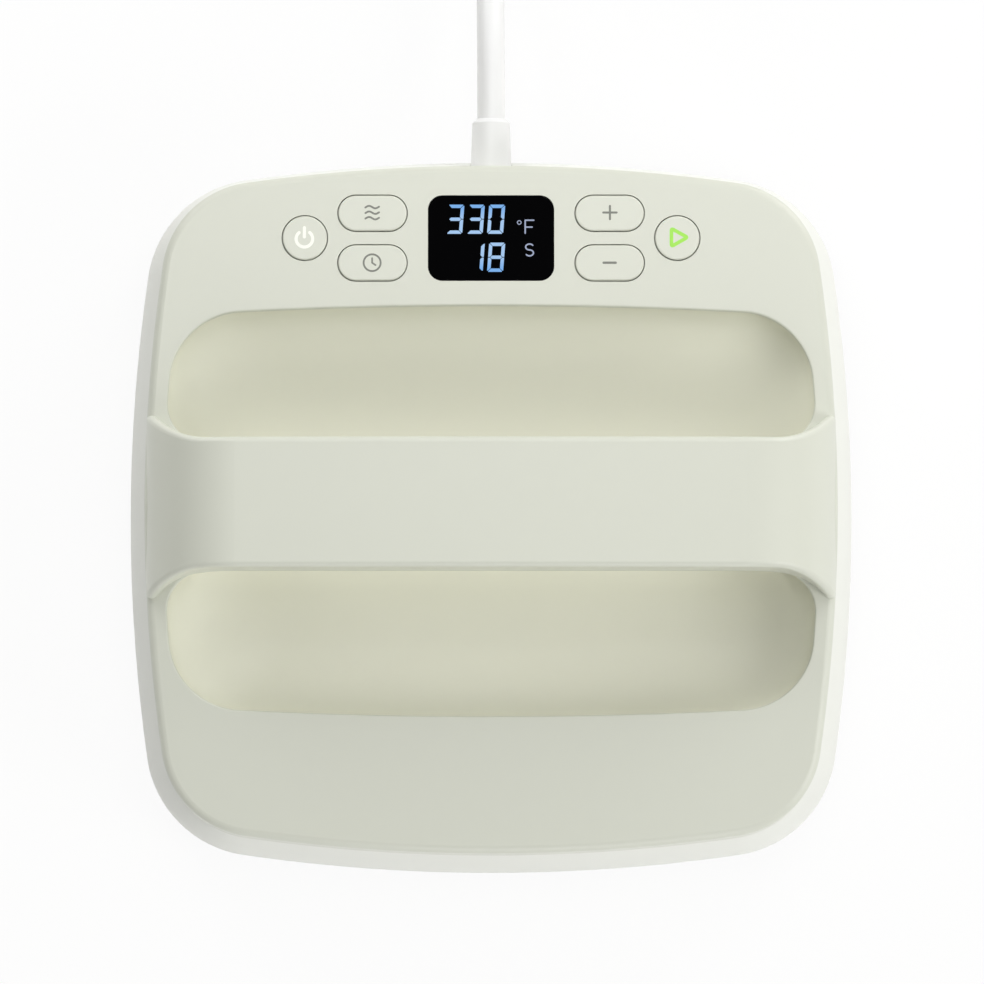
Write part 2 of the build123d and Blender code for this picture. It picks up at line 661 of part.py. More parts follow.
def cover_form():
    """Outer form of the cover: two sloping decks with openings, and the handle arch over them."""
    deck = deck_solid(0, 0, SHELL_BOTTOM)
    slopes = deck.faces().sort_by(Axis.Z)[-2:]
    rim = [edge for face in slopes for edge in face.edges() if abs(edge.center().Y) > DECK_EDGE]
    deck = fillet(rim, DECK_EDGE)
    for side in (-1, 1):
        deck -= upright(well_opening(side), SHELL_BOTTOM, HANDLE_TOP)
    lips = [edge for face in deck.faces() for wire in face.inner_wires() for edge in wire.edges()]
    lips = [edge for edge in lips if edge.center().Z > SHELL_BOTTOM + DECK_EDGE]
    deck = fillet(lips, LIP_EDGE)
    plan = upright(handle_plan(), SHELL_BOTTOM, HANDLE_TOP + HANDLE_EDGE)
    arch = front_prism(arch_face(0), 2 * HANDLE_WIDTH) & plan
    sides = [edge for edge in arch.edges() if abs(edge.center().Y) > HANDLE_WIDTH / 2 - HOLE_PLAY]
    long_edges = [edge for edge in sides if edge.center().Z > DECK_RIDGE]
    arch = fillet(long_edges, HANDLE_EDGE)
    arch &= upright(shell_outline(0), SHELL_BOTTOM, HANDLE_TOP + HANDLE_EDGE)
    return deck + arch


def top_shell():
    """Sage cover: hollow decks and handle, with key holes, posts and bosses inside."""
    body = cover_form()
    hollow = front_prism(arch_face(SHELL_WALL), HANDLE_WIDTH - 2 * SHELL_WALL)
    body -= hollow & upright(shell_outline(SHELL_WALL), FLOOR_TOP, HANDLE_TOP)
    body -= front_prism(tunnel_face(0), HANDLE_WIDTH + 2 * FLARE_RADIUS)
    body -= deck_solid(SHELL_WALL, SHELL_WALL, FLOOR_TOP)
    for name, (x, y) in KEYS.items():
        body -= panel_slab(key_face(name, KEY_GAP), x, y, -2 * SHELL_WALL, 2 * SHELL_WALL)
    lens = RectangleRounded(DISPLAY_WIDTH + 2 * FIT, DISPLAY_HEIGHT + 2 * FIT, DISPLAY_CORNER + FIT)
    body -= panel_slab(lens, 0, 0, -2 * SHELL_WALL, 2 * SHELL_WALL)
    for x, y in control_board_corners():
        body += panel_slab(Circle(SMALL_POST / 2), x, y, -BOARD_DEPTH, -SHELL_WALL / 2)
        body -= panel_slab(Circle((SCREW_DIAMETER + HOLE_PLAY) / 2), x, y, -BOARD_DEPTH, -SHELL_WALL)
    for x, y in mirrored_points(POST_X, POST_Y):
        body += rod(x, y, FLOOR_TOP, deck_height(y) - SHELL_WALL / 2, POST_DIAMETER)
        body -= rod(x, y, FLOOR_TOP, FLOOR_TOP + SCREW_BITE + FIT, SCREW_DIAMETER + HOLE_PLAY)
    for x, y in tab_places():
        seat = tab_height() + TAB_THICKNESS
        root = deck_height(y) - SHELL_WALL / 2
        body += rod(x, y, seat, root, SMALL_POST)
        body -= rod(x, y, seat, min(seat + SCREW_BITE, root), SCREW_DIAMETER + HOLE_PLAY)
    for x, y in mirrored_points(HANDLE_SCREW_X, HANDLE_SCREW_Y):
        seat = handle_screw_seat() + UNDERSIDE_WALL
        body += rod(x, y, seat, HANDLE_TOP - SHELL_WALL / 2 - HANDLE_CROWN / 2, SMALL_POST)
        body -= rod(x, y, seat, seat + SCREW_BITE + FIT, SCREW_DIAMETER + HOLE_PLAY)
    return body


def handle_underside():
    """Closes the handle from below: roof of the finger tunnel and the boxed inner faces of its legs."""
    width = HANDLE_WIDTH - 2 * SHELL_WALL - 2 * FIT
    body = front_prism(tunnel_face(UNDERSIDE_WALL) - tunnel_face(0), width)
    leg_top = TUNNEL_ROOF - TUNNEL_CORNER
    leg = Pos(TUNNEL_HALF + FAR / 2, leg_top / 2) * Rectangle(FAR, leg_top)
    for side in (-1, 1):
        wall = front_prism(leg + Pos(-2 * (TUNNEL_HALF + FAR / 2), 0) * leg, UNDERSIDE_WALL)
        body += Pos(0, side * (width - UNDERSIDE_WALL) / 2, 0) * wall
    body &= well_bowl(-2 * FIT, HANDLE_TOP)
    for x, y in mirrored_points(HANDLE_SCREW_X, HANDLE_SCREW_Y):
        body += rod(x, y, TUNNEL_ROOF, handle_screw_seat() + UNDERSIDE_WALL, SMALL_POST + UNDERSIDE_WALL)
        body -= rod(x, y, TUNNEL_ROOF, handle_screw_seat(), SCREW_HEAD + 2 * FIT)
        body -= rod(x, y, TUNNEL_ROOF, handle_screw_seat() + UNDERSIDE_WALL, SCREW_DIAMETER + 2 * FIT)
    return body


def handle_screws():
    """Screws from below that hold the underside in the handle."""
    one = screw(SCREW_DIAMETER, SCREW_HEAD, UNDERSIDE_WALL + SCREW_BITE)
    places = mirrored_points(HANDLE_SCREW_X, HANDLE_SCREW_Y)
    return [Pos(x, y, handle_screw_seat()) * one for x, y in places]


def shell_screws():
    """Screws from below the floor into the cover's four posts."""
    one = screw(SCREW_DIAMETER, SCREW_HEAD, FLOOR_THICKNESS + SCREW_BITE)
    return [Pos(x, y, FLOOR_BOTTOM) * one for x, y in mirrored_points(POST_X, POST_Y)]


def key(name):
    """A key: cap in the deck, a flange that stops it under the deck and a stem to its switch."""
    x, y = KEYS[name]
    flange_top = -SHELL_WALL - FIT
    flange_bottom = flange_top - KEY_FLANGE
    stem_end = -BOARD_DEPTH + SWITCH_HEIGHT - SWITCH_WELL + KEY_TRAVEL + FIT
    cap = extrude(Pos(0, 0, flange_top) * key_face(name, 0), KEY_PROUD - flange_top)
    cap = fillet(cap.edges().group_by(Axis.Z)[-1], KEY_EDGE)
    flange = extrude(Pos(0, 0, flange_bottom) * key_face(name, KEY_FLANGE_LAP), KEY_FLANGE)
    stem = rod(0, 0, stem_end, flange_top, KEY_STEM)
    return PANEL * Pos(x, y, 0) * (cap + flange + stem)


def key_switches():
    """Six switches on the control board, each with a round well for its key's stem."""
    housing = standing_box(SWITCH_SIZE, SWITCH_SIZE, SWITCH_HEIGHT)
    housing -= rod(0, 0, SWITCH_HEIGHT - SWITCH_WELL, SWITCH_HEIGHT, KEY_STEM + 3 * FIT)
    return [PANEL * Pos(x, y, -BOARD_DEPTH) * housing for x, y in KEYS.values()]


def display_window():
    """Black lens flush with the deck, bonded under it by a flange."""
    lens = RectangleRounded(DISPLAY_WIDTH, DISPLAY_HEIGHT, DISPLAY_CORNER)
    lap = 2 * DISPLAY_LAP
    flange = RectangleRounded(DISPLAY_WIDTH + lap, DISPLAY_HEIGHT + lap, DISPLAY_CORNER + DISPLAY_LAP)
    body = panel_slab(lens, 0, 0, -SHELL_WALL, 0)
    return body + panel_slab(flange, 0, 0, -SHELL_WALL - DISPLAY_FLANGE, -SHELL_WALL)


def display_module():
    """Numeric display block on the control board, just under the lens."""
    face = Rectangle(DISPLAY_WIDTH - 2 * MODULE_MARGIN, DISPLAY_HEIGHT - 2 * MODULE_MARGIN)
    return panel_slab(face, 0, 0, -BOARD_DEPTH, -SHELL_WALL - DISPLAY_FLANGE - FIT)


def control_board():
    """Circuit board that carries the switches and the display, parallel to the deck."""
    sheet = Pos(0, CONTROL_BOARD_SHIFT) * Rectangle(CONTROL_BOARD_WIDTH, CONTROL_BOARD_LENGTH)
    sheet = fillet(sheet.vertices(), SMALL_POST / 4)
    for x, y in control_board_corners():
        sheet -= Pos(x, y) * Circle(SCREW_DIAMETER / 2 + FIT)
    return panel_slab(sheet, 0, 0, -BOARD_DEPTH - BOARD_THICKNESS, -BOARD_DEPTH)


def board_screws():
    """Screws from below that hold the control board to the cover."""
    one = screw(SCREW_DIAMETER, SCREW_HEAD, BOARD_THICKNESS + SCREW_BITE)
    under = -BOARD_DEPTH - BOARD_THICKNESS
    return [PANEL * Pos(x, y, under) * one for x, y in control_board_corners()]


def buzzer():
    """Round buzzer under the control board, with its sound hole."""
    under = -BOARD_DEPTH - BOARD_THICKNESS
    low = under - BUZZER_HEIGHT
    body = panel_slab(Circle(BUZZER_DIAMETER / 2), BUZZER_X, 0, low, under)
    hole = panel_slab(Circle(BUZZER_DIAMETER / 12), BUZZER_X, 0, low, low + BUZZER_HEIGHT / 2)
    return body - hole


def power_board_screw_places():
    """Screw places of the power board."""
    x = POWER_BOARD_WIDTH / 2 - SMALL_POST / 2
    y = POWER_BOARD_LENGTH / 2 - SMALL_POST / 2
    return [(POWER_BOARD_X + px, POWER_BOARD_Y + py) for px, py in mirrored_points(x, y)]


def power_board_top():
    """Height of the power board's upper face."""
    return FLOOR_TOP + POWER_BOARD_STAND + BOARD_THICKNESS


def power_board():
    """Mains circuit board on stands above the floor."""
    sheet = Pos(POWER_BOARD_X, POWER_BOARD_Y) * Rectangle(POWER_BOARD_WIDTH, POWER_BOARD_LENGTH)
    sheet = fillet(sheet.vertices(), SMALL_POST / 4)
    for x, y in power_board_screw_places():
        sheet -= Pos(x, y) * Circle(SCREW_DIAMETER / 2 + FIT)
    return upright(sheet, FLOOR_TOP + POWER_BOARD_STAND, power_board_top())


def power_board_screws():
    """Screws from above that hold the power board on its stands."""
    length = BOARD_THICKNESS + POWER_BOARD_STAND
    turned = Rot(180, 0, 0) * screw(SCREW_DIAMETER, SCREW_HEAD, length)
    return [Pos(x, y, power_board_top()) * turned for x, y in power_board_screw_places()]


def on_power_board(x, y, block):
    """Stand a component on the power board, placed from the board's middle."""
    return Pos(POWER_BOARD_X + x, POWER_BOARD_Y + y, power_board_top()) * block


def relay_offset():
    """The relay's place, near the board's left edge."""
    return (RELAY_WIDTH - POWER_BOARD_WIDTH) / 2 + SMALL_POST / 3


def transformer_offset():
    """The transformer's place, beside the relay."""
    return relay_offset() + (RELAY_WIDTH + TRANSFORMER_WIDTH) / 2 + SMALL_POST / 3


def power_relay():
    """Relay that switches the heater."""
    block = standing_box(RELAY_WIDTH, RELAY_DEPTH, RELAY_HEIGHT)
    block = fillet(block.edges().filter_by(Axis.Z), SMALL_POST / 6)
    return on_power_board(relay_offset(), 0, block)


def board_transformer():
    """Small transformer: a laminated core round a wound bobbin."""
    core = standing_box(TRANSFORMER_WIDTH, TRANSFORMER_WIDTH * 0.6, TRANSFORMER_HEIGHT)
    bobbin = standing_box(TRANSFORMER_WIDTH * 0.65, TRANSFORMER_WIDTH, TRANSFORMER_HEIGHT * 0.8)
    bobbin = fillet(bobbin.edges().filter_by(Axis.Z), TRANSFORMER_WIDTH / 8)
    return on_power_board(transformer_offset(), 0, core + bobbin)


def board_capacitor():
    """Upright smoothing capacitor with a rounded top edge."""
    can = rod(0, 0, 0, CAPACITOR_HEIGHT, CAPACITOR_DIAMETER)
    can = fillet(can.edges().group_by(Axis.Z)[-1], CAPACITOR_DIAMETER / 12)
    x = transformer_offset() + (TRANSFORMER_WIDTH + CAPACITOR_DIAMETER) / 2 + SMALL_POST / 3
    return on_power_board(x, -CAPACITOR_DIAMETER / 2, can)


def lead(points, bend):
    """Insulated wire along straight runs with round bends."""
    return swept_tube(FilletPolyline(*points, radius=bend), LEAD_DIAMETER)


def heater_leads():
    """Two wires from the power board through the window to the heater's pins."""
    pin_height = PLATE_THICKNESS - ELEMENT_SINK
    pin_end = ELEMENT_END_Y - TERMINAL_LENGTH
    board_edge = POWER_BOARD_Y - POWER_BOARD_LENGTH / 2
    wire_height = power_board_top() + LEAD_DIAMETER / 2 + HOLE_PLAY
    bend = 2 * LEAD_DIAMETER
    leads = []
    for side, shift in ((-1, -ELEMENT_END_X), (1, ELEMENT_END_X)):
        x = side * ELEMENT_END_X
        far = POWER_BOARD_X + shift
        points = [
            (x, pin_end, pin_height),
            (x, pin_end - 2 * bend, pin_height),
            (x, pin_end - 2 * bend, wire_height),
            (far, board_edge - 4 * bend, wire_height),
            (far, board_edge + bend, wire_height),
        ]
        leads.append(lead(points, bend))
    return leads


def sensor_lead():
    """Wire of the temperature sensor, from its block to the power board."""
    start_y = SENSOR_WIDTH / 2
    height = PLATE_THICKNESS + SENSOR_HEIGHT / 2
    board_edge = POWER_BOARD_Y - POWER_BOARD_LENGTH / 2
    wire_height = power_board_top() + LEAD_DIAMETER / 2 + HOLE_PLAY
    bend = LEAD_DIAMETER
    points = [
        (0, start_y, height),
        (0, start_y + 2 * bend, height),
        (0, start_y + 2 * bend, wire_height),
        (POWER_BOARD_X, board_edge - 6 * bend, wire_height),
        (POWER_BOARD_X, board_edge + 2 * bend, wire_height),
    ]
    return lead(points, bend)


def mains_leads():
    """Two insulated cores from the end of the lead to the power board."""
    bend = 2 * LEAD_DIAMETER
    end_x = POWER_BOARD_X + POWER_BOARD_WIDTH / 2 - bend
    end_z = power_board_top() + LEAD_DIAMETER / 2 + HOLE_PLAY
    leads = []
    for index in (0, 1):
        x = (index - 0.5) * (LEAD_DIAMETER + 2 * FIT)
        turn_y = INNER_CORD_END_Y - (1 + index) * bend
        start_z = CORD_HEIGHT + LEAD_DIAMETER / 2
        points = [(x, INNER_CORD_END_Y, start_z), (x, turn_y, start_z), (end_x, turn_y, end_z)]
        leads.append(lead(points, bend / 2))
    return leads


def board_ribbon():
    """Flat cable that rises from the power board to the control board."""
    y = POWER_BOARD_Y + POWER_BOARD_LENGTH / 2 - SMALL_POST
    low = power_board_top()
    high = deck_height(y) - (BOARD_DEPTH + BOARD_THICKNESS) / math.cos(math.radians(DECK_SLOPE)) - FIT
    bow = RIBBON_WIDTH / 5
    middle = (low + high) / 2
    inner = ThreePointArc((y, low), (y + bow, middle), (y, high))
    outer = ThreePointArc(
        (y + RIBBON_THICKNESS, low), (y + RIBBON_THICKNESS + bow, middle), (y + RIBBON_THICKNESS, high)
    )
    bottom = Line((y, low), (y + RIBBON_THICKNESS, low))
    top = Line((y, high), (y + RIBBON_THICKNESS, high))
    face = make_face(inner.edges() + outer.edges() + bottom.edges() + top.edges())
    x = POWER_BOARD_X + RIBBON_WIDTH
    return Pos(x, 0, 0) * extrude(Plane.YZ * face, RIBBON_WIDTH / 2, both=True)


def clamp_seat():
    """Height where the cord clamp's ears rest on their block."""
    return CORD_HEIGHT


def clamp_screw_places():
    """Screw places of the cord clamp, each side of the lead."""
    reach = CORD_DIAMETER / 2 + CLAMP_WALL + CLAMP_EAR / 2
    return [(-reach, CLAMP_Y), (reach, CLAMP_Y)]


def clamp_span():
    """Overall width of the cord clamp across its ears."""
    return CORD_DIAMETER + 2 * CLAMP_WALL + 2 * CLAMP_EAR


def cord_clamp():
    """Saddle over the lead with a flat ear each side."""
    ears = Pos(0, clamp_seat() + CLAMP_WALL / 2) * Rectangle(clamp_span(), CLAMP_WALL)
    hump = Pos(0, clamp_seat()) * Circle(CORD_DIAMETER / 2 + FIT + CLAMP_WALL)
    above = Pos(0, clamp_seat() + FAR / 2) * Rectangle(FAR, FAR)
    face = ears + (hump & above) - Pos(0, clamp_seat()) * Circle(CORD_DIAMETER / 2 + FIT)
    clamp = Pos(0, CLAMP_Y, 0) * front_prism(face, CLAMP_LENGTH)
    for x, y in clamp_screw_places():
        clamp -= rod(x, y, clamp_seat(), clamp_seat() + CLAMP_WALL, SCREW_DIAMETER + 2 * FIT)
    return clamp


def clamp_screws():
    """Screws from above that press the clamp on the lead."""
    turned = Rot(180, 0, 0) * screw(SCREW_DIAMETER, SCREW_HEAD, CLAMP_WALL + SCREW_BITE)
    return [Pos(x, y, clamp_seat() + CLAMP_WALL) * turned for x, y in clamp_screw_places()]


def relief_start_y():
    """Inner end of the strain relief, behind its flange."""
    return relief_wall_y() - SKIRT_WALL - RELIEF_SEAT - RELIEF_FLANGE_LENGTH


def strain_relief():
    """Tapered sleeve moulded on the lead: a flat flange inside the wall, a rounded nose outside."""
    start = relief_start_y()
    flange = Pos(0, start, CORD_HEIGHT) * Box(
        RELIEF_FLANGE, RELIEF_FLANGE_LENGTH, RELIEF_FLANGE_HEIGHT,
        align=(Align.CENTER, Align.MIN, Align.CENTER),
    )
    length = RELIEF_END_Y - start
    taper = Cone(RELIEF_ROOT / 2, RELIEF_TIP / 2, length, align=(Align.CENTER, Align.CENTER, Align.MIN))
    taper = chamfer(taper.edges().group_by(Axis.Z)[-1], RELIEF_CHAMFER)
    return flange + Pos(0, start, CORD_HEIGHT) * Rot(-90, 0, 0) * taper


def inner_cord():
    """The lead inside the housing, from the strain relief through the clamp."""
    return along_y(INNER_CORD_END_Y, relief_start_y() - INNER_CORD_END_Y, CORD_DIAMETER)


def earth_lead():
    """Earth wire from the lead's end to a plate screw."""
    bend = 2 * LEAD_DIAMETER
    start_z = CORD_HEIGHT - LEAD_DIAMETER
    floor_z = FLOOR_TOP + LEAD_DIAMETER / 2 + HOLE_PLAY
    end_x = SPACER_X - PLATE_SCREW_HEAD / 2 - HOLE_PLAY
    points = [
        (0, INNER_CORD_END_Y, start_z),
        (0, INNER_CORD_END_Y - 2 * bend, start_z),
        (end_x / 2, SPACER_Y, floor_z),
        (end_x, SPACER_Y, floor_z),
    ]
    return lead(points, bend)


def corner_radii(points):
    """Widest even bend at each corner of a route: nearly half of the shorter run on each side."""
    places = [Vector(*point) for point in points]
    radii = []
    for before, here, after in zip(places, places[1:], places[2:]):
        run_in = here - before
        run_out = after - here
        half_turn = math.radians(run_in.get_angle(run_out)) / 2
        radii.append(0.45 * min(run_in.length, run_out.length) / math.tan(half_turn))
    return radii


def cord_along(name, points):
    """Length of cord along a route, with its bend radii and volume shown."""
    radii = corner_radii(points)
    path = FilletPolyline(*points, radius=radii)
    tube = swept_tube(path, CORD_DIAMETER)
    expected = math.pi * CORD_DIAMETER**2 / 4 * path.length
    print(name, "bend radii", [round(radius, 1) for radius in radii])
    print(name, "length", round(path.length, 1), "volume ratio", round(tube.volume / expected, 4))
    return tube


def coil_low():
    """Height of the cord's axis in the coil's lower layer, which lies on the tie."""
    return TIE_THICKNESS + TIE_PLAY + CORD_DIAMETER / 2


def coil_step():
    """Distance between neighbouring turns and between the two layers."""
    return CORD_DIAMETER + COIL_GAP


def coil_radius():
    """Outermost radius of the coil's axis."""
    return COIL_CORE_RADIUS + coil_step() * COIL_TURNS_PER_LAYER


def coil_left_x():
    """Where the cord enters and leaves the coil, at its left."""
    return COIL_CENTRE_X - coil_radius()


def coil_point(turn):
    """Place on the coil; turns count from its middle, where the spiral reverses and climbs."""
    radius = COIL_CORE_RADIUS + coil_step() * abs(turn)
    angle = -2 * math.pi * turn
    climb = min(max(2 * turn + 0.5, 0), 1)
    height = coil_low() + coil_step() * climb**2 * (3 - 2 * climb)
    x = COIL_CENTRE_X + radius * math.cos(angle)
    return Vector(x, COIL_CENTRE_Y + radius * math.sin(angle), height)


def coil_direction(turn):
    """Direction of the cord on the coil; the two ends run straight back."""
    if abs(turn) >= COIL_TURNS_PER_LAYER:
        return Vector(0, 1, 0)
    small = 0.001
    return (coil_point(turn + small) - coil_point(turn - small)).normalized()


def biarc(start, start_way, end, end_way):
    """Two arcs that leave one place in its direction and reach the next in its own."""
    chord = end - start
    bend = 2 * (1 - start_way.dot(end_way))
    along = chord.dot(start_way + end_way)
    reach = (math.sqrt(along**2 + bend * chord.dot(chord)) - along) / bend
    joint = (start + end + (start_way - end_way) * reach) * 0.5
    first = TangentArc(start, joint, tangent=start_way)
    return [first, TangentArc(joint, end, tangent=first % 1)]


def coil_path():
    """Line of the coil: quarter turns of two arcs each, with a short straight at both ends."""
    quarters = round(4 * COIL_TURNS_PER_LAYER)
    knots = [quarter / 4 for quarter in range(-quarters, quarters + 1)]
    straight = Vector(0, CORD_DIAMETER, 0)
    edges = [Line(coil_point(knots[0]) - straight, coil_point(knots[0]))]
    for turn, following in zip(knots, knots[1:]):
        start = coil_point(turn)
        end = coil_point(following)
        edges += biarc(start, coil_direction(turn), end, coil_direction(following))
    edges.append(Line(coil_point(knots[-1]), coil_point(knots[-1]) + straight))
    return Wire([edge for piece in edges for edge in piece.edges()])


def coil_self_gap(path):
    """Least gap between two turns of the coil, on points along its line."""
    count = 600
    spacing = path.length / count
    points = [path @ (index / count) for index in range(count + 1)]
    apart = math.ceil(2 * COIL_CORE_RADIUS / spacing)
    nearest = min(
        (points[one] - points[two]).length
        for one in range(count + 1)
        for two in range(one + apart, count + 1)
    )
    return nearest - CORD_DIAMETER


def cord_coil():
    """The spare lead, wound in two layers."""
    path = coil_path()
    tube = swept_tube(path, CORD_DIAMETER)
    expected = math.pi * CORD_DIAMETER**2 / 4 * path.length
    print("cord_coil length", round(path.length, 1), "volume ratio", round(tube.volume / expected, 4))
    print("cord_coil least gap to itself", round(coil_self_gap(path), 2))
    return tube


def power_cord():
    """The lead from the press, down to the table and on to the coil."""
    x = coil_left_x()
    low = coil_low()
    points = [
        (0, RELIEF_END_Y, CORD_HEIGHT),
        (0, 160, CORD_HEIGHT),
        (-0.6, 190, 12),
        (x, 226, low),
        (x, COIL_CENTRE_Y - CORD_DIAMETER, low),
    ]
    return cord_along("power_cord", points)


def cord_tail():
    """The end of the lead: off the coil's upper layer, round and down to the plug."""
    x = coil_left_x()
    high = coil_low() + coil_step()
    axis = PLUG_HEIGHT / 2
    points = [
        (x, COIL_CENTRE_Y + CORD_DIAMETER, high),
        (x, 298, high),
        (x - 13.5, 321.4, 11.5),
        (x - 36.9, 334.9, 7.5),
        (x - 63.9, 334.9, 5.6),
        (x - 87.3, 321.4, 7.5),
        (PLUG_X, 298, axis),
        (PLUG_X, PLUG_Y, axis),
    ]
    return cord_along("cord_tail", points)


def cord_tie():
    """Hook-and-loop band round the coil at its far side."""
    step = coil_step()
    turn = COIL_TURNS_PER_LAYER - 0.25
    outer = COIL_CORE_RADIUS + step * turn + CORD_DIAMETER / 2 + TIE_PLAY
    inner = COIL_CORE_RADIUS + step * 0.25 - CORD_DIAMETER / 2 - 3 * TIE_PLAY
    top = coil_low() + step + CORD_DIAMETER / 2 + TIE_PLAY
    corner = CORD_DIAMETER / 3
    middle_y = COIL_CENTRE_Y + (outer + inner) / 2
    middle_z = (top + TIE_THICKNESS) / 2
    width = outer - inner
    height = top - TIE_THICKNESS
    wall = 2 * TIE_THICKNESS
    band = RectangleRounded(width + wall, height + wall, corner + TIE_THICKNESS)
    band -= RectangleRounded(width, height, corner)
    section = Plane.YZ * Pos(middle_y, middle_z) * band
    return Pos(COIL_CENTRE_X, 0, 0) * extrude(section, TIE_WIDTH / 2, both=True)


PLUG_PLANE = Plane(origin=(PLUG_X, PLUG_Y, PLUG_HEIGHT / 2), x_dir=(1, 0, 0), z_dir=(0, -1, 0))


def blade_forms():
    """The two flat blades and the earth pin, along +Z from their root inside the plug."""
    root = PLUG_NECK_LENGTH + PLUG_LENGTH - BLADE_ROOT
    blade_y = EARTH_OFFSET / 3
    blade = standing_box(BLADE_THICKNESS, BLADE_WIDTH, BLADE_ROOT + BLADE_LENGTH)
    pin = rod(0, blade_y - EARTH_OFFSET, root, root + BLADE_ROOT + EARTH_PIN_LENGTH, EARTH_PIN)
    pin = fillet(pin.edges().group_by(Axis.Z)[-1], EARTH_PIN / 3)
    return [Pos(side * BLADE_PITCH / 2, blade_y, root) * blade for side in (-1, 1)] + [pin]


def plug_blades():
    """Blades and pin in their place on the plug."""
    return [PLUG_PLANE * form for form in blade_forms()]


def plug_body():
    """Moulded plug: a tapered neck and a rounded block that holds the blades."""
    neck = Cone(CORD_DIAMETER / 2 + RELIEF_CHAMFER / 2, PLUG_NECK / 2, PLUG_NECK_LENGTH,
                align=(Align.CENTER, Align.CENTER, Align.MIN))
    block = extrude(RectangleRounded(PLUG_WIDTH, PLUG_HEIGHT, PLUG_CORNER), PLUG_LENGTH)
    block = fillet(block.edges().group_by(Axis.Z)[0], PLUG_CORNER / 2)
    body = neck + Pos(0, 0, PLUG_NECK_LENGTH) * block
    for form in blade_forms():
        body -= form
    return PLUG_PLANE * body


PIECES = {
    "heat_plate": heat_plate,
    "heating_element": heating_element,
    "insulation_blanket": insulation_blanket,
    "heat_shield": heat_shield,
    "plate_spacers": plate_spacers,
    "plate_screws": plate_screws,
    "shield_screws": shield_screws,
    "temperature_sensor": temperature_sensor,
    "thermal_cutout": thermal_cutout,
    "sensor_screws": sensor_screws,
    "base_housing": base_housing,
    "top_shell": top_shell,
    "shell_screws": shell_screws,
    "finger_well": finger_well,
    "well_screws": well_screws,
    "handle_underside": handle_underside,
    "handle_screws": handle_screws,
    "display_window": display_window,
    "display_module": display_module,
    "control_board": control_board,
    "key_switches": key_switches,
    "buzzer": buzzer,
    "board_screws": board_screws,
    "power_board": power_board,
    "power_relay": power_relay,
    "board_transformer": board_transformer,
    "board_capacitor": board_capacitor,
    "power_board_screws": power_board_screws,
    "heater_leads": heater_leads,
    "sensor_lead": sensor_lead,
    "mains_leads": mains_leads,
    "earth_lead": earth_lead,
    "board_ribbon": board_ribbon,
    "cord_clamp": cord_clamp,
    "clamp_screws": clamp_screws,
    "strain_relief": strain_relief,
    "inner_cord": inner_cord,
    "power_cord": power_cord,
    "cord_coil": cord_coil,
    "cord_tie": cord_tie,
    "cord_tail": cord_tail,
    "plug_body": plug_body,
    "plug_blades": plug_blades,
}


def save(name, piece):
    """Write one node's file; a node of several like solids goes in as one group."""
    if isinstance(piece, list):
        piece = Compound(children=[solid for part in piece for solid in part.solids()])
    export_step(piece, f"parts/{name}.step")


os.makedirs("parts", exist_ok=True)
for piece_name, make_piece in PIECES.items():
    save(piece_name, make_piece())
for key_name in KEYS:
    save(key_name, key(key_name))
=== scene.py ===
import math

import bpy
import numpy as np
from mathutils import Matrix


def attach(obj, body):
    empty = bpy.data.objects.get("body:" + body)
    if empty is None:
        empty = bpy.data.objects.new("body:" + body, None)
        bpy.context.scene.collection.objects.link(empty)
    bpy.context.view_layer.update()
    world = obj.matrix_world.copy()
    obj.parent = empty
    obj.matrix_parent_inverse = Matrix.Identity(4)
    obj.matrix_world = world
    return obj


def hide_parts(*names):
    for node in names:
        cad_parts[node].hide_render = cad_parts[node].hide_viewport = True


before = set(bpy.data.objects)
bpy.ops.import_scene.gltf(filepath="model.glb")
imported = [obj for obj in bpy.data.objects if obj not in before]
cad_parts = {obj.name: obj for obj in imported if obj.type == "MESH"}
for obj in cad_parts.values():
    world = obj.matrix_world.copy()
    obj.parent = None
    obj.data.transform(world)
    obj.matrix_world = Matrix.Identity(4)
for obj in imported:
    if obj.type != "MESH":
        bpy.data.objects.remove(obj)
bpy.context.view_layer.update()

# The photograph looks almost straight down through a long lens, tipped four degrees to the front. The
# press stands on a plain white sweep under a soft sky. The main softbox stands at the front right, a low
# one fills the pockets from the front, and the ones behind shade the decks from back to front.
scene = bpy.context.scene
scene.view_settings.view_transform = "Standard"
photo_pixels = 984
pixels_per_metre = 3049.0
view_width = photo_pixels / pixels_per_metre
view_tilt = math.radians(4.0)
view_distance = 3.5
view_target = np.array([0.0003, 0.00865, 0.008])
view_back = np.array([0.0, -math.sin(view_tilt), math.cos(view_tilt)])
camera = bpy.data.objects.new("camera", bpy.data.cameras.new("camera"))
camera.data.lens = camera.data.sensor_width * view_distance / view_width
camera.data.clip_end = 20.0
camera.location = view_target + view_distance * view_back
camera.rotation_euler = (view_tilt, 0.0, 0.0)
scene.collection.objects.link(camera)
scene.camera = camera


def linear(code):
    """An sRGB hex colour as the linear values that a shader takes: c / 12.92 for a dark part c, and
    ((c + 0.055) / 1.055) ^ 2.4 for the rest."""
    part = np.array([int(code[at : at + 2], 16) for at in (1, 3, 5)]) / 255.0
    low = part / 12.92
    high = ((part + 0.055) / 1.055) ** 2.4
    return (*np.where(part <= 0.04045, low, high).tolist(), 1.0)


def add(tree, kind, links=None, **settings):
    """Adds one node: settings go on the node itself, links fill its sockets with values or other sockets."""
    made = tree.nodes.new(kind)
    for name, value in settings.items():
        setattr(made, name, value)
    for socket, source in (links or {}).items():
        if isinstance(source, bpy.types.NodeSocket):
            tree.links.new(source, made.inputs[socket])
        else:
            made.inputs[socket].default_value = source
    return made


